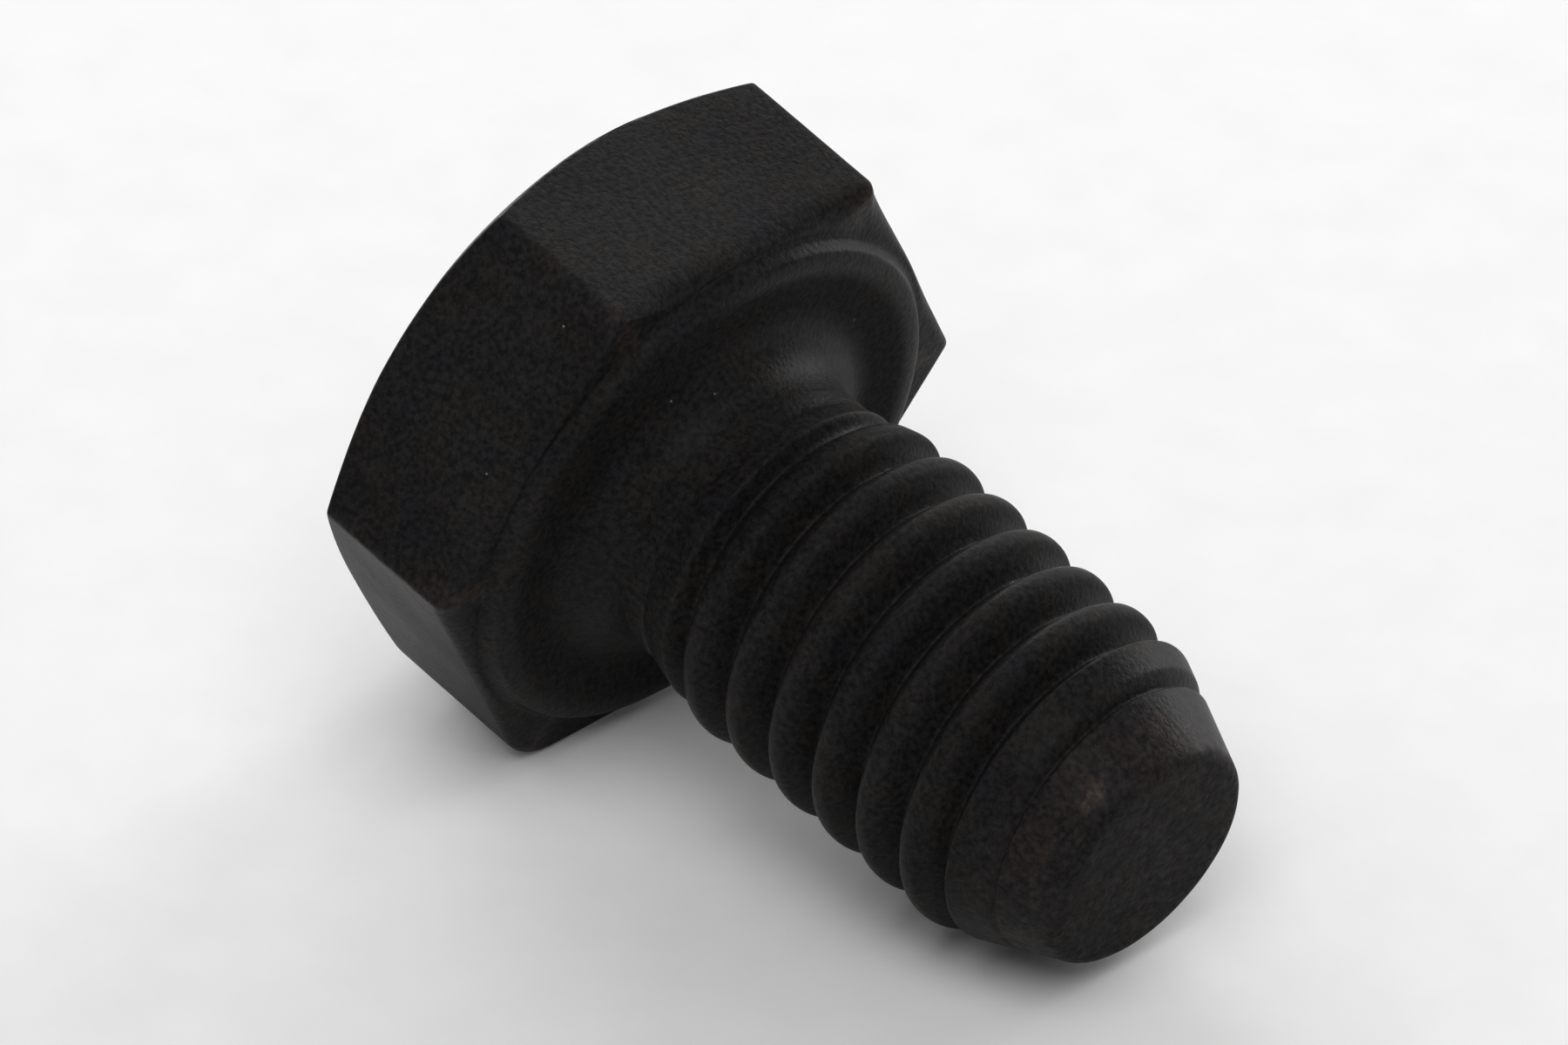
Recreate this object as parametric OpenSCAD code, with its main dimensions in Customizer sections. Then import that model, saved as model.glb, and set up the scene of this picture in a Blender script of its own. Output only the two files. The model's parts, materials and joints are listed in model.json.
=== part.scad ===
// Hexagon head screw, threaded to the head, lying at rest on one flat of its head and on its thread.
// It is drawn upright, with its bearing face at z = 0 and its thread along +Z, and is then laid down.

/* [Head] */
// Width of the hexagon across its flats
head_af = 9.8; // [9.5:0.1:10.5]
// Height of the head, from the bearing face to the top
head_h = 3.6; // [3.2:0.1:5]
// Diameter of the flat on top of the head, inside the chamfer
head_top_d = 9.3; // [8:0.1:9.7]
// Slope of the chamfer round the top of the head, in degrees
head_chamfer_angle = 30; // [15:1:40]
// Diameter of the raised bearing face under the head
washer_face_d = 9; // [8.4:0.1:9.4]
// Thickness of the raised bearing face
washer_face_h = 0.25; // [0.15:0.05:0.6]
// Bevel round the edge of the bearing face
washer_face_bevel = 0.1; // [0.02:0.02:0.14]

/* [Neck] */
// Depth of the plain neck under the crests of the thread
neck_relief = 0.3; // [0.15:0.05:0.55]
// Radius of the fillet between the neck and the bearing face
neck_fillet = 0.65; // [0.45:0.05:0.8]
// Length of the neck between the fillet and the thread
neck_plain = 0.55; // [0.2:0.05:2]
// Length over which the first turn of the thread rises out of the neck
run_in = 0.8; // [0.4:0.1:1.5]

/* [Thread] */
// Diameter over the crests of the thread
thread_d = 5.8; // [5.6:0.05:6.4]
// Distance from one turn to the next
thread_pitch = 1; // [0.8:0.05:1.1]
// Turn of the thread about the axis, in degrees
thread_turn = 8; // [0:1:359]

/* [Point] */
// Length of the screw under its head
screw_len = 10.2; // [8:0.1:20]
// Diameter of the flat end
point_d = 4; // [3.2:0.1:4.4]
// Length of the taper at the end
point_len = 2.1; // [1:0.1:2.5]
// Bevel round the rim of the flat end
point_bevel = 0.12; // [0.04:0.02:0.3]

/* [Finish] */
// Facets in one turn of the thread
turn_facets = 48; // [24:6:60]

/* [Hidden] */
$fn = 96;

// Overlap of solids that are joined
join = 0.2;
// Room between the crests and the shape that trims the ends of the thread
trim_room = 0.3;

crest_r = thread_d / 2;
neck_r = crest_r - neck_relief;
neck_len = neck_fillet + neck_plain;
point_r = point_d / 2;
washer_face_r = washer_face_d / 2;
head_top_r = head_top_d / 2;
head_corner_r = head_af / sqrt(3);

// The 60 degree thread form, with its sharp height cut by an eighth at the crest and a sixth at the root
flank_slope = sqrt(3);
form_h = thread_pitch * flank_slope / 2;
crest_flat = thread_pitch / 8;
root_flat = thread_pitch / 6;
root_r = crest_r - form_h * (1 - 1 / 8 - 1 / 6);

// One pitch of that form: the place along the axis and the radius
form = [
    [-crest_flat / 2, crest_r],
    [crest_flat / 2, crest_r],
    [(thread_pitch - root_flat) / 2, root_r],
    [(thread_pitch + root_flat) / 2, root_r]
];
form_n = len(form);

// How far the axis runs while the radius changes by one, at the start and at the point
rise = run_in / neck_relief;
taper = point_len / (crest_r - point_r);
taper_start = screw_len - point_len;

// The thread is swept in whole turns past both of its ends, where it is trimmed
sweep_from = floor(neck_len / thread_pitch - 2) * thread_pitch;
sweep_turns = ceil((screw_len - sweep_from) / thread_pitch) + 2;
sweep_rows = sweep_turns * form_n;

// Where a crest at place z along the axis would touch the ground: the radius and the place
function crest_touch(z) =
    let (from = z - crest_flat / 2)
    let (to = z + crest_flat / 2)
    let (cut = (from * flank_slope + taper_start / taper) / (flank_slope + 1 / taper))
    to <= taper_start ? [crest_r, to]
    : from <= taper_start ? [crest_r, taper_start]
    : [crest_r - (cut - taper_start) / taper, cut];

// Slope from the edge of the head to a point of the shank at radius and place c
function rest_slope(c) = (head_af / 2 - c[0]) / (c[1] + washer_face_h);

// Lying down, the screw touches the ground with the edge of one flat of the head and with its thread
first_crest = (1 - thread_turn / 360) * thread_pitch;
shank_slopes = [
    for (z = [first_crest:thread_pitch:screw_len])
        if (z > neck_len + run_in)
            rest_slope(crest_touch(z))
];
rest_tilt = atan(min(concat(shank_slopes, [rest_slope([point_r, screw_len - point_bevel])])));
rest_z = cos(rest_tilt) * head_af / 2 - sin(rest_tilt) * washer_face_h;
rest_x_head = -sin(rest_tilt) * head_top_r - cos(rest_tilt) * head_h;
rest_x_tip = sin(rest_tilt) * (point_r - point_bevel) + cos(rest_tilt) * screw_len;
rest_x = -(rest_x_head + rest_x_tip) / 2;

// Point of the swept surface in row i and at facet j
function sweep_point(i, j) =
    let (f = form[i % form_n])
    let (a = 360 * j / turn_facets + thread_turn)
    [
        f[1] * cos(a),
        f[1] * sin(a),
        sweep_from + f[0] + thread_pitch * (floor(i / form_n) + j / turn_facets)
    ];

// Number of that point, where the facet after the last is the first one of the next turn
function sweep_index(i, j) =
    j < turn_facets ? i * turn_facets + j : (i + form_n) * turn_facets + j - turn_facets;

// Helical ridge on a solid core, longer than the thread at both ends
module swept_thread() {
    rows = sweep_rows;
    last = turn_facets - 1;
    grid = [for (i = [0:rows]) for (j = [0:last]) sweep_point(i, j)];
    low = len(grid);
    high = low + 1;
    ends = [
        [0, 0, sweep_from - thread_pitch],
        [0, 0, sweep_from + thread_pitch * (sweep_turns + 2)]
    ];
    sides = [
        for (i = [0:rows - 1])
            for (j = [0:last])
                if (j < last || i + form_n + 1 <= rows)
                    each [
                        [sweep_index(i, j), sweep_index(i + 1, j), sweep_index(i + 1, j + 1)],
                        [sweep_index(i, j), sweep_index(i + 1, j + 1), sweep_index(i, j + 1)]
                    ]
    ];
    low_ramp = [for (j = [0:last]) [low, sweep_index(0, j), sweep_index(0, j + 1)]];
    low_wall = [for (i = [0:form_n - 1]) [low, sweep_index(i + 1, 0), sweep_index(i, 0)]];
    high_ramp = [for (j = [0:last - 1]) [high, sweep_index(rows, j + 1), sweep_index(rows, j)]];
    high_wall = [
        for (i = [rows - form_n:rows - 1])
            [high, sweep_index(i, last), sweep_index(i + 1, last)]
    ];
    high_step = [[high, sweep_index(rows, 0), sweep_index(rows - form_n, last)]];
    polyhedron(
        points = concat(grid, ends),
        faces = concat(sides, low_ramp, low_wall, high_ramp, high_wall, high_step)
    );
}

// Room that the thread may fill: it rises out of the neck and is tapered at the point
module thread_room() {
    trim_r = crest_r + trim_room;
    rotate_extrude()
        polygon([
            [0, neck_len - join],
            [neck_r - join / rise, neck_len - join],
            [trim_r, neck_len + (trim_r - neck_r) * rise],
            [trim_r, taper_start - trim_room * taper],
            [point_r + point_bevel / taper, screw_len - point_bevel],
            [point_r - point_bevel, screw_len],
            [0, screw_len]
        ]);
}

module thread() {
    intersection() {
        swept_thread();
        thread_room();
    }
}

// Raised bearing face, fillet, plain neck and the cone that ends below the roots of the thread
module neck() {
    cone_r = root_r - join;
    cone_end = neck_len + (neck_r - cone_r) * rise;
    fillet = [
        for (a = [0:15:90])
            [neck_r + neck_fillet * (1 - sin(a)), neck_fillet * (1 - cos(a))]
    ];
    rotate_extrude()
        polygon(concat(
            [
                [0, -washer_face_h - join],
                [washer_face_r, -washer_face_h - join],
                [washer_face_r, -washer_face_bevel],
                [washer_face_r - washer_face_bevel, 0]
            ],
            fillet,
            [
                [neck_r, neck_len],
                [cone_r, cone_end],
                [0, cone_end]
            ]
        ));
}

// Hexagon with its top corners turned down to a cone
module head() {
    cone_r = head_corner_r + join;
    cone_drop = (cone_r - head_top_r) * tan(head_chamfer_angle);
    intersection() {
        translate([0, 0, -head_h])
            rotate([0, 0, 30])
                cylinder(r = head_corner_r, h = head_h - washer_face_h, $fn = 6);
        rotate_extrude()
            polygon([
                [0, -head_h],
                [head_top_r, -head_h],
                [cone_r, -head_h + cone_drop],
                [cone_r, 0],
                [0, 0]
            ]);
    }
}

module screw() {
    color([0.12, 0.12, 0.12])
        translate([rest_x, 0, rest_z])
            rotate([0, 90 + rest_tilt, 0]) {
                head();
                neck();
                thread();
            }
}

screw();
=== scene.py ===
import json
import math

import bpy
from mathutils import Matrix, Vector, noise


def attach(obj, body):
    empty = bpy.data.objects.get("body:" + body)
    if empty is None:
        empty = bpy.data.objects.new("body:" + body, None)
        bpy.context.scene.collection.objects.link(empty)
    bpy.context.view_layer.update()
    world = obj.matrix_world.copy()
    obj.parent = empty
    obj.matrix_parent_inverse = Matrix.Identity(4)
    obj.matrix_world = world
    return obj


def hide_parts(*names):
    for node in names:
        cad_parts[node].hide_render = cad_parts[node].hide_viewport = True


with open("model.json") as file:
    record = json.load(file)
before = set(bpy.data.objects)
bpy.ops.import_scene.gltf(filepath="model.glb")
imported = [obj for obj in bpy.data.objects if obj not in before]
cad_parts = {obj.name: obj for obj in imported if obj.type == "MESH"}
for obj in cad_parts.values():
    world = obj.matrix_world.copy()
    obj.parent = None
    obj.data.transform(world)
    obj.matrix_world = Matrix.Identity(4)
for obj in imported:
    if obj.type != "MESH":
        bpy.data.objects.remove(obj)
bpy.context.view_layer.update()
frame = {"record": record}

MM = 0.001

# Sizes of the screw in millimetres: close to the solid's, and a little nearer to the photograph's
HEAD_FLATS = 9.8
HEAD_HEIGHT = 3.6
HEAD_TOP_RADIUS = 4.66
HEAD_CHAMFER = math.radians(30)
FACE_RADIUS = 4.6
FACE_HEIGHT = 0.22
CREST_RADIUS = 2.93
NECK_RADIUS = 2.6
NECK_FILLET = 0.85
NECK_LENGTH = 1.34
RUN_IN = 1.3
PITCH = 1.0
THREAD_TURN = math.radians(10)
SCREW_LENGTH = 10.24
POINT_RADIUS = 2.01
POINT_TAPER = 2.17

# The 60 degree thread form, with the wide round crests and the shallow roots of a rolled thread
FLANK_SLOPE = math.sqrt(3)
CREST_WIDTH = 0.34
CREST_CROWN = 0.42
ROOT_RADIUS = 2.36
# On the point the roots taper too: their radius at the end, and how much it grows with each millimetre
# from there
POINT_ROOT_RADIUS = 2.1
POINT_ROOT_GROWTH = 0.125

# Soft edges that forging, rolling and blacking leave, with one radius for each corner of the hexagon
CORNER_ROUND = [0.15, 0.06, 0.1, 0.15, 0.15, 1.1]
TOP_ROUND = 0.3
CHAMFER_ROUND = 0.09
UNDER_ROUND = 0.15
RIM_FOOT_ROUND = 0.12
CREST_ROUND = 0.13
ROOT_ROUND = 0.22
POINT_ROUND = 0.3
RUN_OUT_ROUND = 0.08
# The rim of the bearing face slopes by this much to either side of its radius, and its round is an oval one:
# its reach down the slope and along the face
RIM_SLOPE = 0.08
RIM_ROUND = (0.14, 0.38)

# Trimming rolled the edge under the head over: how much more its round reaches along the flats and along
# the underside, how far from the lying head's top that is strongest, and how steeply it falls off from there
UNDER_ROLL = (0.27, 0.42)
UNDER_ROLL_TURN = math.radians(15)
UNDER_ROLL_FALL = 1.5
# The corners near which the roll fades, over which length and how much
UNDER_ROLL_FADES = ((math.radians(150), 0.3, 0.6), (math.radians(210), 0.8, 1.0))

# The bearing face is dished: its place along the axis at the rim and at the neck
FACE_RIM_PLACE = 0.11
FACE_NECK_PLACE = -0.1

# The chamfer was turned a little off the head's centre: how far, and which way round the head
CHAMFER_OFFSET = 0.22
CHAMFER_OFFSET_ANGLE = math.radians(142)
# The shank stands a little off the head's axis, by this much under the head and at the point, and this way.
# The bearing face takes that up, from this far inside its rim and over this width
SHANK_OFFSET = (-0.06, 0.02)
SHANK_OFFSET_ANGLE = math.radians(130)
SHANK_OFFSET_FROM = 0.3
SHANK_OFFSET_WIDTH = 0.9

# Unevenness of the forged surface: waves in each millimetre and their height, and a shift of the fine waves
# so that they differ from the broad ones
BROAD_WAVES = (0.55, 0.010)
FINE_WAVES = (2.1, 0.0035)
FINE_WAVES_SHIFT = (7, 3, 1)

# Rubbed corners of the head: how much all along and how much more at the underside, the width and the length
# that this takes in, and how far outside the bearing face it starts
CORNER_RUB = 0.04
UNDER_CORNER_RUB = 0.5
CORNER_RUB_WIDTH = 0.2
CORNER_RUB_LENGTH = 0.5
CORNER_RUB_CLEAR = 0.1
# Rubbed crests: how much, and how far down from their tops
CREST_RUB = 0.05
CREST_RUB_DEPTH = 0.05
# Rubbed point: how much on the flat end and how much more on the taper, how far before the end that starts,
# and the length over which it grows
END_RUB = 0.1
TAPER_RUB = 0.18
TAPER_RUB_START = 1.6
TAPER_RUB_RISE = 1.0
# A small nick near the rim of the end, its lighter colour a painted highlight as well as rubbing: how rubbed
# and how bright it is, where it is, and its size
NICK_RUB_AND_GLINT = 2.0
NICK_ANGLE = math.radians(215)
NICK_PLACE = 9.8
NICK_RADIUS = 2.2
NICK_WIDTH = 0.22
NICK_LENGTH = 0.16

# Dull upper crests, on their side towards the end: how dull, from where to where past their middle, and the
# widths over which that starts, stops and fades out before the taper
DULL_CRESTS = 0.6
DULL_CREST_SPAN = (-0.03, 0.34)
DULL_CREST_EDGES = (0.08, 0.1)
DULL_CREST_FADE = 0.3
# Dull bearing face: from which radius to which, and the widths over which that starts and stops
DULL_FACE_SPAN = (3.1, 4.3)
DULL_FACE_EDGES = (0.5, 0.25)

# How finely the surface is divided: columns round each flat, steps along the thread, and in the section of
# the head the parts of each straight line and the steps of each round
COLUMNS_PER_FLAT = 28
THREAD_STEP = 0.03
HEAD_LINE_PARTS = [10, 4, 14, 8, 3, 8, 6]
HEAD_ROUND_STEPS = [0, 4, 6, 10, 4, 8, 10]
# At the end: the length that the steps of the thread leave free, the parts of the line from there to the rim,
# the steps of the rim's round, and the parts of the line from there to the middle
END_ROOM = 0.4
END_TAPER_PARTS = 4
END_ROUND_STEPS = 7
END_FACE_PARTS = 9

# The camera of the photograph: its directions, the point it looks at, its distance and its sensor's width in
# millimetres, the picture's width in pixels, and how many pixels a millimetre of the screw takes in it
CAMERA_FORWARD = (-0.598847, 0.582485, -0.549630)
CAMERA_RIGHT = (0.695946, 0.718089, 0.002749)
CAMERA_AIM = (-1.87871, 0.70409, 4.15034)
CAMERA_DISTANCE = 1000 / 3
SENSOR_WIDTH = 36.0
PICTURE_WIDTH = 1800
PIXELS_PER_MM = 72.0091

# Square softboxes: place and size in metres, and radiance
SOFTBOXES = [
    ("low_back_softbox", (-0.295, 0.132, 0.069), 0.12, 8.4),
    ("low_right_softbox", (0.035, 0.324, 0.052), 0.12, 5.8),
    ("back_right_softbox", (-0.031, 0.300, 0.134), 0.16, 4.3),
    ("back_softbox", (-0.209, 0.203, 0.155), 0.16, 3.0),
    ("back_left_softbox", (-0.277, -0.009, 0.180), 0.22, 2.0),
    ("front_softbox", (0.111, -0.108, 0.291), 0.24, 2.9),
]
SOFTBOX_AIM = (0, 0, 0.004)
# How bright the surroundings are, and how far the floor reaches from the middle in metres
SKY_STRENGTH = 0.15
FLOOR_REACH = 1.5


def rise(value, start, length):
    """Share that grows from 0 at the start to 1 a length further on."""
    return min(max((value - start) / length, 0), 1)


def fall(value, end, length):
    """Share that shrinks from 1 to 0 over a length before the end."""
    return min(max((end - value) / length, 0), 1)


def smooth_min(a, b, soft):
    """The smaller of two values, with a round of the given size where they cross."""
    near = max(soft - abs(a - b), 0) / soft
    return min(a, b) - near * near * soft / 4


def smooth_max(a, b, soft):
    """The larger of two values, rounded in the same way."""
    return -smooth_min(-a, -b, soft)


def past_crest(place, angle):
    """How far a place lies past the nearest crest of the thread, towards the point."""
    turns = place / PITCH - (angle - THREAD_TURN) / math.tau
    return (turns - round(turns)) * PITCH


def off_corner(angle):
    """How far an angle is from the nearest corner of the hexagon. A flat faces angle 0."""
    return abs((angle % math.radians(60)) - math.radians(30))


def hexagon_radius(angle):
    """Distance from the axis to the hexagon's side, with its corners rounded."""
    corner = int(angle % math.tau // math.radians(60))
    from_corner = off_corner(angle)
    half_width = HEAD_FLATS / 2
    rounding = CORNER_ROUND[corner]
    centre = (half_width - rounding) / math.cos(math.radians(30))
    reach = math.atan2(rounding / 2, centre + rounding * math.cos(math.radians(30)))
    if from_corner < reach:
        across = centre * math.sin(from_corner)
        return centre * math.cos(from_corner) + math.sqrt(rounding**2 - across**2)
    return half_width / math.cos(math.radians(30) - from_corner)


def shank_radius(place, angle):
    """Radius of the thread and the point at a place past the neck and an angle round the axis."""
    off_crest = abs(past_crest(place, angle))
    crest = CREST_RADIUS - off_crest**2 / (2 * CREST_CROWN)
    flank = CREST_RADIUS - (off_crest - CREST_WIDTH / 2) * FLANK_SLOPE
    root = min(ROOT_RADIUS, POINT_ROOT_RADIUS + (SCREW_LENGTH - place) * POINT_ROOT_GROWTH)
    radius = smooth_max(smooth_min(crest, flank, CREST_ROUND), root, ROOT_ROUND)
    climb = (place - NECK_LENGTH) * (CREST_RADIUS - NECK_RADIUS) / RUN_IN
    soft = min(climb, RUN_OUT_ROUND)
    radius = smooth_min(radius, NECK_RADIUS + climb, soft)
    radius = smooth_max(radius, NECK_RADIUS - climb, soft)
    taper = (SCREW_LENGTH - place) * (CREST_RADIUS - POINT_RADIUS) / POINT_TAPER
    return smooth_min(radius, POINT_RADIUS + taper, RUN_OUT_ROUND)


def corner_arc(before, corner, after, radius, steps):
    """Points that round the corner between two straight lines of a section."""
    u = (before - corner).normalized()
    v = (after - corner).normalized()
    half = u.angle(v) / 2
    start = corner + u * (radius / math.tan(half))
    centre = corner + (u + v).normalized() * (radius / math.sin(half))
    arm = start - centre
    turn = (math.pi - 2 * half) * (1 if u.x * v.y - u.y * v.x < 0 else -1)
    points = []
    for i in range(steps + 1):
        a = turn * i / steps
        points.append(centre + Vector((
            arm.x * math.cos(a) - arm.y * math.sin(a),
            arm.x * math.sin(a) + arm.y * math.cos(a),
        )))
    return points


def oval_arc(before, corner, after, reach, steps):
    """Points that round a corner unevenly: reach says how far the round goes along each of its two lines."""
    u = (before - corner).normalized() * reach[0]
    v = (after - corner).normalized() * reach[1]
    points = []
    for i in range(steps + 1):
        a = math.pi / 2 * i / steps
        points.append(corner + u * (1 - math.sin(a)) + v * (1 - math.cos(a)))
    return points


def under_reach(angle, side):
    """How far the round of the edge under the head goes along the flat and along the underside."""
    roll = ((1 - math.cos(angle - UNDER_ROLL_TURN)) / 2) ** UNDER_ROLL_FALL
    for corner, length, amount in UNDER_ROLL_FADES:
        roll *= 1 - amount * math.exp(-((side * (angle % math.tau - corner) / length) ** 2))
    room = side - FACE_RADIUS - RIM_SLOPE - RIM_FOOT_ROUND
    return UNDER_ROUND + UNDER_ROLL[0] * roll, min(UNDER_ROUND + UNDER_ROLL[1] * roll, room)


def between(start, end, parts):
    """Points inside the straight line from start to end."""
    return [start.lerp(end, i / parts) for i in range(1, parts)]


def head_section(angle):
    """Section from near the middle of the head's top to the end of the neck, as radius and place."""
    side = hexagon_radius(angle)
    top = HEAD_TOP_RADIUS + CHAMFER_OFFSET * math.cos(angle - CHAMFER_OFFSET_ANGLE)
    chamfer_end = -HEAD_HEIGHT + (side - top) * math.tan(HEAD_CHAMFER)
    corners = [
        (Vector((0, -HEAD_HEIGHT)), 0),
        (Vector((top, -HEAD_HEIGHT)), TOP_ROUND),
        (Vector((side, chamfer_end)), CHAMFER_ROUND),
        (Vector((side, -FACE_HEIGHT)), under_reach(angle, side)),
        (Vector((FACE_RADIUS + RIM_SLOPE, -FACE_HEIGHT)), RIM_FOOT_ROUND),
        (Vector((FACE_RADIUS - RIM_SLOPE, FACE_RIM_PLACE)), RIM_ROUND),
        (Vector((NECK_RADIUS, FACE_NECK_PLACE)), NECK_FILLET),
        (Vector((NECK_RADIUS, NECK_LENGTH)), 0),
    ]
    section = []
    last = corners[0][0]
    for i in range(1, len(corners)):
        corner, rounding = corners[i]
        arc = [corner]
        if isinstance(rounding, tuple):
            arc = oval_arc(corners[i - 1][0], corner, corners[i + 1][0], rounding, HEAD_ROUND_STEPS[i])
        elif rounding:
            arc = corner_arc(corners[i - 1][0], corner, corners[i + 1][0], rounding, HEAD_ROUND_STEPS[i])
        section += between(last, arc[0], HEAD_LINE_PARTS[i - 1])
        section += arc
        last = arc[-1]
    return section


def point_section(angle):
    """Section from the start of the thread to near the middle of the flat end, as radius and place."""
    count = round((SCREW_LENGTH - NECK_LENGTH - END_ROOM) / THREAD_STEP)
    section = []
    for i in range(1, count + 1):
        place = NECK_LENGTH + i * THREAD_STEP
        section.append(Vector((shank_radius(place, angle), place)))
    rim = Vector((POINT_RADIUS, SCREW_LENGTH))
    middle = Vector((0, SCREW_LENGTH))
    arc = corner_arc(section[-1], rim, middle, POINT_ROUND, END_ROUND_STEPS)
    section += between(section[-1], arc[0], END_TAPER_PARTS)
    section += arc
    section += between(arc[-1], middle, END_FACE_PARTS)
    return section


def column_angles():
    """Angles round the axis, closer together at the hexagon's corners."""
    angles = []
    for flat in range(6):
        for i in range(COLUMNS_PER_FLAT):
            along = 2 * (i + 0.5) / COLUMNS_PER_FLAT - 1
            angles.append(math.radians(60 * flat + 30 * math.sin(along * math.pi / 2)))
    return angles


def rest_matrix():
    """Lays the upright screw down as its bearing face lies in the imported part."""
    face = next(m for m in frame["record"]["mounts"] if m["name"] == "bearing_face")
    along = Vector(face["axis"]).normalized()
    across = Vector((0, 1, 0))
    down = across.cross(along)
    turned = Matrix((down, across, along)).transposed().to_4x4()
    return Matrix.Translation((face["pos_m"][0], 0, face["pos_m"][2])) @ turned


def shank_shift(radius, place):
    """How far the shank stands off the head's axis there."""
    if place < -FACE_HEIGHT / 2:
        return Vector((0, 0, 0))
    under, end = SHANK_OFFSET
    off = fall(radius, FACE_RADIUS - SHANK_OFFSET_FROM, SHANK_OFFSET_WIDTH)
    off *= under + (end - under) * place / SCREW_LENGTH
    return Vector((off * math.cos(SHANK_OFFSET_ANGLE), off * math.sin(SHANK_OFFSET_ANGLE), 0))


def unevenness(point):
    """How far the surface stands in or out, in millimetres: forged steel is never quite flat."""
    broad = noise.noise(point * BROAD_WAVES[0])
    fine = noise.noise(point * FINE_WAVES[0] + Vector(FINE_WAVES_SHIFT))
    return BROAD_WAVES[1] * broad + FINE_WAVES[1] * fine


def rub_and_glint(angle, radius, place):
    """How scuffed a place is, and where its lighter colour paints a highlight: the nicked spot near the end's
    rim and the corners under the head most, the crests and the point less.
    """
    if radius > FACE_RADIUS + CORNER_RUB_CLEAR:
        corner = math.exp(-((radius * math.sin(off_corner(angle)) / CORNER_RUB_WIDTH) ** 2))
        under = math.exp(-(((place + FACE_HEIGHT) / CORNER_RUB_LENGTH) ** 2))
        return corner * (CORNER_RUB + UNDER_CORNER_RUB * under)
    if place < NECK_LENGTH:
        return 0
    crest = CREST_RUB * rise(radius, CREST_RADIUS - CREST_RUB_DEPTH, CREST_RUB_DEPTH)
    across = NICK_RADIUS * (angle - NICK_ANGLE)
    # The nick near the end's rim: its lighter rubbed colour is also a painted highlight
    nick_glint = NICK_RUB_AND_GLINT * math.exp(-((across / NICK_WIDTH) ** 2) - ((place - NICK_PLACE) / NICK_LENGTH) ** 2)
    taper = END_RUB + TAPER_RUB * fall(place, SCREW_LENGTH, POINT_ROUND)
    taper *= rise(place, SCREW_LENGTH - TAPER_RUB_START, TAPER_RUB_RISE)
    return max(crest, nick_glint, taper)


def dulled(angle, radius, place):
    """How dull a place is: the cropped end and the bearing face most, the upper crests less."""
    if place > NECK_LENGTH:
        end = rise(place, SCREW_LENGTH - POINT_ROUND, POINT_ROUND)
        past = past_crest(place, angle)
        crest = rise(past, DULL_CREST_SPAN[0], DULL_CREST_EDGES[0])
        crest *= fall(past, DULL_CREST_SPAN[1], DULL_CREST_EDGES[1])
        crest *= fall(place, SCREW_LENGTH - POINT_TAPER, DULL_CREST_FADE)
        upper = (1 - math.cos(angle)) / 2
        return max(end, DULL_CRESTS * crest * upper)
    if place < -FACE_HEIGHT:
        return 0
    inside = rise(radius, DULL_FACE_SPAN[0], DULL_FACE_EDGES[0])
    return inside * fall(radius, DULL_FACE_SPAN[1], DULL_FACE_EDGES[1])


def build_screw():
    """One closed surface from the head's top to the point, as rings of sections round the axis."""
    angles = column_angles()
    sections = [head_section(a) + point_section(a) for a in angles]
    rows = len(sections[0])
    columns = len(angles)
    # The first two points are the middles of the head's top and of the flat end
    points = [Vector((0, 0, -HEAD_HEIGHT)), Vector((0, 0, SCREW_LENGTH)) + shank_shift(0, SCREW_LENGTH)]
    # How worn each point is; at the nick near the end this also paints a highlight
    wear_and_glint = [0, 0]
    dull = [0, 1]
    for row in range(rows):
        for angle, section in zip(angles, sections):
            radius, place = section[row]
            wear_and_glint.append(rub_and_glint(angle % math.tau, radius, place))
            dull.append(dulled(angle, radius, place))
            point = Vector((radius * math.cos(angle), radius * math.sin(angle), place))
            points.append(point + shank_shift(radius, place))
    faces = []
    foot = 2 + (rows - 1) * columns
    for column in range(columns):
        after = (column + 1) % columns
        faces.append((0, 2 + after, 2 + column))
        faces.append((1, foot + column, foot + after))
        for row in range(rows - 1):
            here = 2 + row * columns
            faces.append((here + column, here + after, here + columns + after, here + columns + column))
    mesh = bpy.data.meshes.new("screw_body")
    mesh.from_pydata([p * MM for p in points], [], faces)
    mesh.update()
    normals = [v.normal.copy() for v in mesh.vertices]
    for vertex, normal, point in zip(mesh.vertices, normals, points):
        vertex.co = (point + normal * unevenness(point)) * MM
    mesh.attributes.new("wear_and_glint", "FLOAT", "POINT").data.foreach_set("value", wear_and_glint)
    mesh.attributes.new("dull", "FLOAT", "POINT").data.foreach_set("value", dull)
    mesh.transform(rest_matrix())
    mesh.polygons.foreach_set("use_smooth", [True] * len(mesh.polygons))
    mesh.update()
    screw = bpy.data.objects.new("screw_body", mesh)
    bpy.context.scene.collection.objects.link(screw)
    return screw


def add_node(tree, kind, place, **values):
    """New shader node with its properties or its inputs set."""
    node = tree.nodes.new(kind)
    node.location = place
    for name, value in values.items():
        if name in node.inputs.keys():
            node.inputs[name].default_value = value
        else:
            setattr(node, name, value)
    return node


def ramp(tree, place, low, high, low_colour, high_colour):
    """Colour ramp between two colours, from a low to a high value."""
    node = tree.nodes.new("ShaderNodeValToRGB")
    node.location = place
    node.color_ramp.elements[0].position = low
    node.color_ramp.elements[0].color = (*low_colour, 1)
    node.color_ramp.elements[1].position = high
    node.color_ramp.elements[1].color = (*high_colour, 1)
    return node


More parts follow.
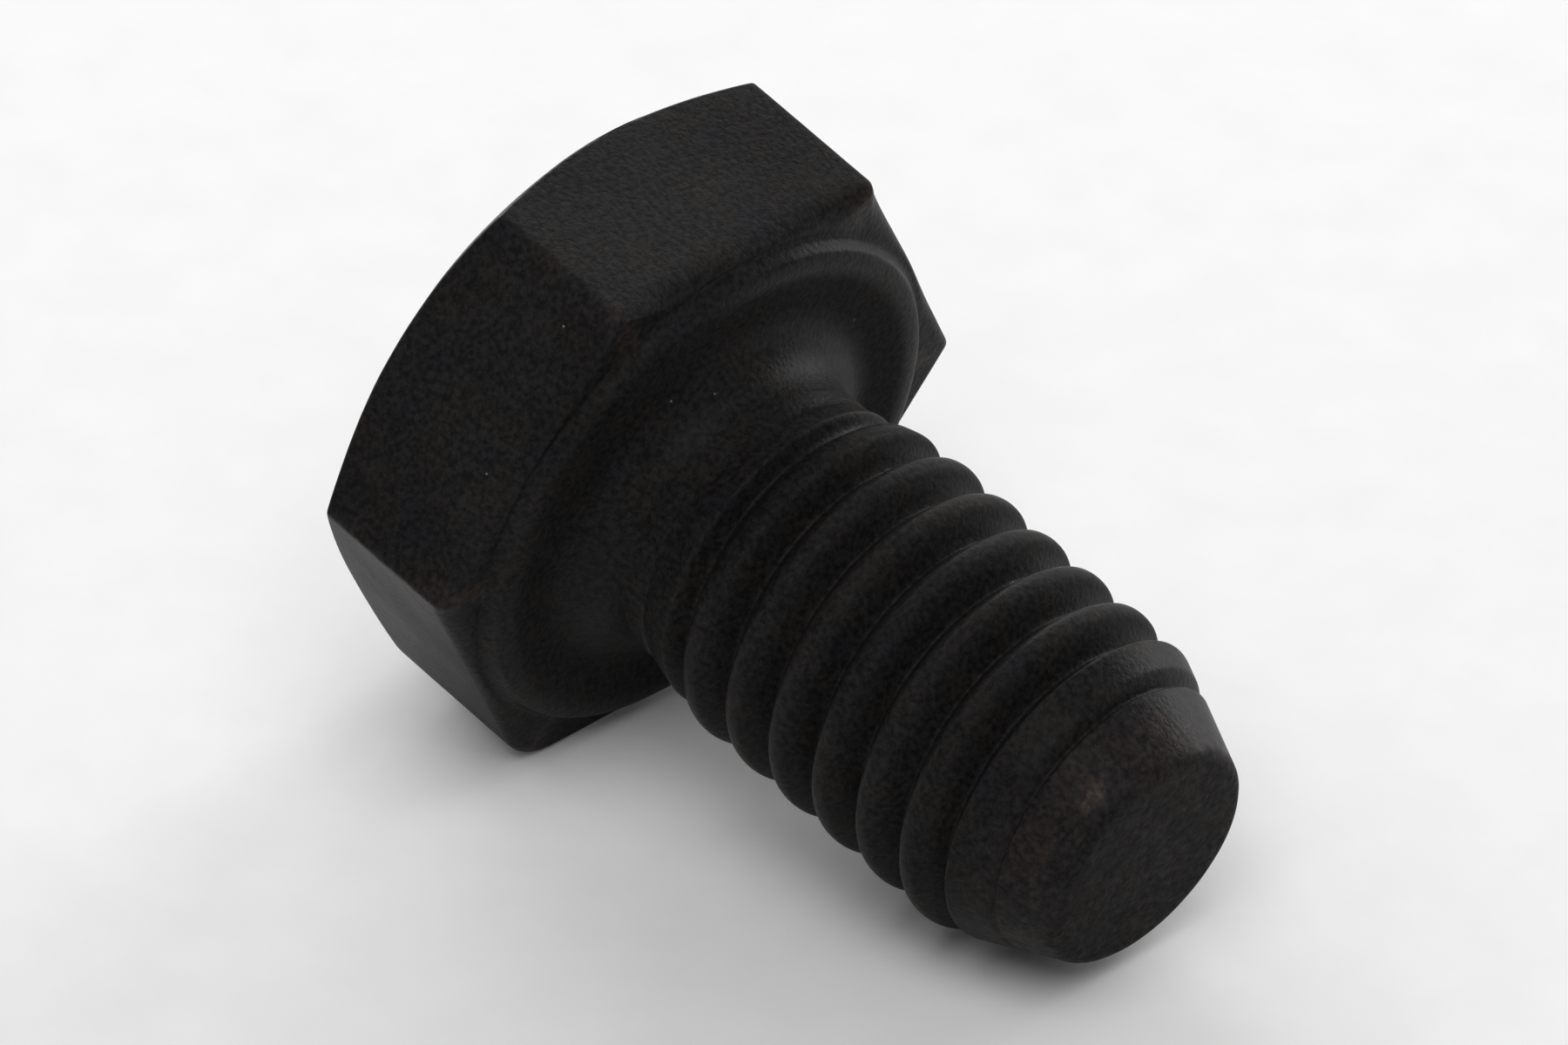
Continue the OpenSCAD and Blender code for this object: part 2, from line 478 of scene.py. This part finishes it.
def black_oxide():
    """Dull black oxide on steel: nearly black, mottled brown and blue, grainy, with scuffed and dusty specks,
    and a lighter spot near the end that is a painted highlight.
    """
    material = bpy.data.materials.new("black_oxide")
    material.use_nodes = True
    tree = material.node_tree
    tree.nodes.clear()
    link = tree.links.new
    output = add_node(tree, "ShaderNodeOutputMaterial", (1500, 0))
    shader = add_node(tree, "ShaderNodeBsdfPrincipled", (1200, 0), Metallic=0.0, IOR=1.5)
    shader.inputs["Specular IOR Level"].default_value = 0.060
    where = add_node(tree, "ShaderNodeTexCoord", (-1200, 0))
    blotch = add_node(tree, "ShaderNodeTexNoise", (-900, 600), Scale=420.0, Detail=5.0, Roughness=0.6)
    tint = add_node(tree, "ShaderNodeTexNoise", (-900, 350), Scale=1300.0, Detail=3.0, Roughness=0.5)
    grain = add_node(tree, "ShaderNodeTexNoise", (-900, 100), Scale=10000.0, Detail=3.0, Roughness=0.65)
    flecks = add_node(tree, "ShaderNodeTexNoise", (-900, -150), Scale=5200.0, Detail=3.0, Roughness=0.6)
    cells = add_node(tree, "ShaderNodeTexVoronoi", (-900, -400), Scale=1400.0)
    for texture in (blotch, tint, grain, flecks, cells):
        link(where.outputs["Object"], texture.inputs["Vector"])

    # Colour of the oxide: dark and light blotches, tinted from place to place, with a fine grain over them
    dark = ramp(tree, (-600, 600), 0.33, 0.68, (0.0134, 0.0136, 0.0139), (0.0264, 0.0260, 0.0255))
    hue = ramp(tree, (-600, 350), 0.30, 0.70, (0.0154, 0.0170, 0.0225), (0.0258, 0.0200, 0.0154))
    oxide = add_node(tree, "ShaderNodeMix", (-300, 500), data_type="RGBA")
    oxide.inputs["Factor"].default_value = 0.5
    speckle = ramp(tree, (-300, 250), 0.36, 0.64, (0.35, 0.35, 0.35), (1.0, 1.0, 1.0))
    grainy = add_node(tree, "ShaderNodeMix", (0, 400), data_type="RGBA", blend_type="MULTIPLY")
    grainy.inputs["Factor"].default_value = 1.0
    link(blotch.outputs["Fac"], dark.inputs["Fac"])
    link(tint.outputs["Fac"], hue.inputs["Fac"])
    link(dark.outputs["Color"], oxide.inputs["A"])
    link(hue.outputs["Color"], oxide.inputs["B"])
    link(grain.outputs["Fac"], speckle.inputs["Fac"])
    link(oxide.outputs["Result"], grainy.inputs["A"])
    link(speckle.outputs["Color"], grainy.inputs["B"])

    # Rubbed places, broken up into flecks of browned steel; at the nick near the end the same lighter colour
    # is a painted highlight
    rubbing_and_glint = add_node(tree, "ShaderNodeAttribute", (-900, -650), attribute_name="wear_and_glint")
    broken = ramp(tree, (-600, -150), 0.44, 0.64, (0.25, 0.25, 0.25), (1.0, 1.0, 1.0))
    worn_and_glint = add_node(tree, "ShaderNodeMath", (-300, -150), operation="MULTIPLY", use_clamp=True)
    # Colour of browned steel, and also of the painted highlight at the nick near the end
    steel = ramp(tree, (-300, 50), 0.35, 0.65, (0.034, 0.026, 0.023), (0.078, 0.055, 0.046))
    browned_and_glint = add_node(tree, "ShaderNodeMix", (300, 300), data_type="RGBA")
    link(flecks.outputs["Fac"], broken.inputs["Fac"])
    link(broken.outputs["Color"], worn_and_glint.inputs[0])
    link(rubbing_and_glint.outputs["Fac"], worn_and_glint.inputs[1])
    link(grain.outputs["Fac"], steel.inputs["Fac"])
    link(worn_and_glint.outputs["Value"], browned_and_glint.inputs["Factor"])
    link(grainy.outputs["Result"], browned_and_glint.inputs["A"])
    link(steel.outputs["Color"], browned_and_glint.inputs["B"])

    # A speck of dust in the middle of some cells
    middle = ramp(tree, (-600, -400), 0.020, 0.034, (1.0, 1.0, 1.0), (0.0, 0.0, 0.0))
    chosen = ramp(tree, (-600, -650), 0.50, 0.52, (0.0, 0.0, 0.0), (1.0, 1.0, 1.0))
    dust = add_node(tree, "ShaderNodeMath", (-300, -400), operation="MULTIPLY", use_clamp=True)
    lint = ramp(tree, (-300, -650), 0.3, 0.7, (0.10, 0.10, 0.10), (0.22, 0.22, 0.22))
    colour = add_node(tree, "ShaderNodeMix", (600, 200), data_type="RGBA")
    link(cells.outputs["Distance"], middle.inputs["Fac"])
    link(cells.outputs["Color"], chosen.inputs["Fac"])
    link(middle.outputs["Color"], dust.inputs[0])
    link(chosen.outputs["Color"], dust.inputs[1])
    link(tint.outputs["Fac"], lint.inputs["Fac"])
    link(dust.outputs["Value"], colour.inputs["Factor"])
    link(browned_and_glint.outputs["Result"], colour.inputs["A"])
    link(lint.outputs["Color"], colour.inputs["B"])
    link(colour.outputs["Result"], shader.inputs["Base Color"])

    # Uneven sheen: smoother where it is rubbed, rougher on the dull places
    sheen = add_node(tree, "ShaderNodeMapRange", (0, -100))
    sheen.inputs["From Min"].default_value = 0.3
    sheen.inputs["From Max"].default_value = 0.7
    sheen.inputs["To Min"].default_value = 0.40
    sheen.inputs["To Max"].default_value = 0.50
    dulling = add_node(tree, "ShaderNodeAttribute", (-300, -900), attribute_name="dull")
    rougher = add_node(tree, "ShaderNodeMapRange", (150, -300))
    rougher.inputs["To Max"].default_value = 0.8
    polish = add_node(tree, "ShaderNodeMapRange", (300, -100))
    polish.inputs["From Max"].default_value = 0.2
    polish.inputs["To Max"].default_value = 0.40
    link(blotch.outputs["Fac"], sheen.inputs["Value"])
    link(dulling.outputs["Fac"], rougher.inputs["Value"])
    link(sheen.outputs["Result"], rougher.inputs["To Min"])
    link(worn_and_glint.outputs["Value"], polish.inputs["Value"])
    link(rougher.outputs["Result"], polish.inputs["To Min"])
    link(polish.outputs["Result"], shader.inputs["Roughness"])

    # Fine grain of the surface
    bump = add_node(tree, "ShaderNodeBump", (900, -300), Strength=0.8, Distance=0.00002)
    link(grain.outputs["Fac"], bump.inputs["Height"])
    link(bump.outputs["Normal"], shader.inputs["Normal"])
    link(shader.outputs["BSDF"], output.inputs["Surface"])
    return material


def pale_floor():
    """Matt pale sheet that runs out of sight, with a faint tooth."""
    material = bpy.data.materials.new("pale_floor")
    material.use_nodes = True
    tree = material.node_tree
    shader = tree.nodes["Principled BSDF"]
    shader.inputs["Roughness"].default_value = 0.9
    shader.inputs["Specular IOR Level"].default_value = 0.1
    where = add_node(tree, "ShaderNodeTexCoord", (-900, 0))
    tooth = add_node(tree, "ShaderNodeTexNoise", (-600, 0), Scale=700.0, Detail=4.0)
    shade = ramp(tree, (-300, 0), 0.3, 0.7, (0.92, 0.92, 0.92), (0.95, 0.95, 0.95))
    tree.links.new(where.outputs["Object"], tooth.inputs["Vector"])
    tree.links.new(tooth.outputs["Fac"], shade.inputs["Fac"])
    tree.links.new(shade.outputs["Color"], shader.inputs["Base Color"])
    mesh = bpy.data.meshes.new("floor")
    reach = FLOOR_REACH
    corners = [(-reach, -reach, 0), (reach, -reach, 0), (reach, reach, 0), (-reach, reach, 0)]
    mesh.from_pydata(corners, [], [(0, 1, 2, 3)])
    mesh.materials.append(material)
    floor = bpy.data.objects.new("floor", mesh)
    bpy.context.scene.collection.objects.link(floor)


def soft_light(name, place, size, radiance):
    """Square softbox that faces the screw. Its power follows from its radiance and its size."""
    lamp = bpy.data.lights.new(name, "AREA")
    lamp.shape = "RECTANGLE"
    lamp.size = size
    lamp.size_y = size
    lamp.energy = radiance * math.pi * size * size
    light = bpy.data.objects.new(name, lamp)
    light.location = place
    light.rotation_euler = (Vector(SOFTBOX_AIM) - Vector(place)).to_track_quat("-Z", "Y").to_euler()
    bpy.context.scene.collection.objects.link(light)


def studio():
    """Dim even surroundings, five softboxes behind the screw, two of them low, and one high up in front."""
    world = bpy.data.worlds.new("studio")
    world.use_nodes = True
    sky = world.node_tree.nodes["Background"]
    sky.inputs["Color"].default_value = (1.0, 1.0, 1.0, 1)
    sky.inputs["Strength"].default_value = SKY_STRENGTH
    bpy.context.scene.world = world
    for name, place, size, radiance in SOFTBOXES:
        soft_light(name, place, size, radiance)


def photo_camera():
    """Long-lens camera at the photograph's angle and framing."""
    forward = Vector(CAMERA_FORWARD).normalized()
    right = Vector(CAMERA_RIGHT).normalized()
    up = right.cross(forward)
    stand = (Vector(CAMERA_AIM) - forward * CAMERA_DISTANCE) * MM
    camera = bpy.data.cameras.new("photo_camera")
    camera.sensor_width = SENSOR_WIDTH
    camera.lens = PIXELS_PER_MM * CAMERA_DISTANCE / PICTURE_WIDTH * SENSOR_WIDTH
    camera.clip_start = 0.01
    camera.clip_end = 10.0
    holder = bpy.data.objects.new("photo_camera", camera)
    turned = Matrix((right, up, -forward)).transposed().to_4x4()
    holder.matrix_world = Matrix.Translation(stand) @ turned
    bpy.context.scene.collection.objects.link(holder)
    bpy.context.scene.camera = holder


screw = build_screw()
screw.data.materials.append(black_oxide())
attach(screw, "root")
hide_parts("screw")
pale_floor()
studio()
photo_camera()
bpy.context.scene.view_settings.view_transform = "Standard"
